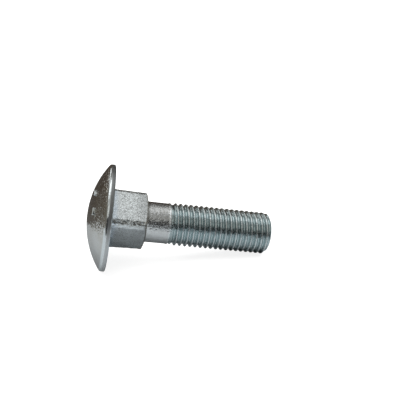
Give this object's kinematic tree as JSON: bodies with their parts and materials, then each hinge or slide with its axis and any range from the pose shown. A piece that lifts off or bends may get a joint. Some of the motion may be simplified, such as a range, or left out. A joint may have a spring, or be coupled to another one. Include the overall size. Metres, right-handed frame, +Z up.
{
  "type": "carriage bolt",
  "caption": "Zinc-plated carriage bolt with a shallow domed head, a square neck, a plain shank and a coarse metric thread, lying as it rests.",
  "frame": {"origin": "middle of the bolt's bounding box in plan, on the ground it lies on", "axes": "+X from the head towards the tip, +Z up; the bolt's own axis slopes down 11.0 degrees towards the tip, because it lies on the rim of its head and the end of its thread"},
  "size_m": [0.0688, 0.0388, 0.0383],
  "materials": {
    "zinc_plate": "satin zinc plate over forged and rolled steel"
  },
  "bodies": {
    "root": {"bolt": "zinc_plate"}
  },
  "joints": []
}
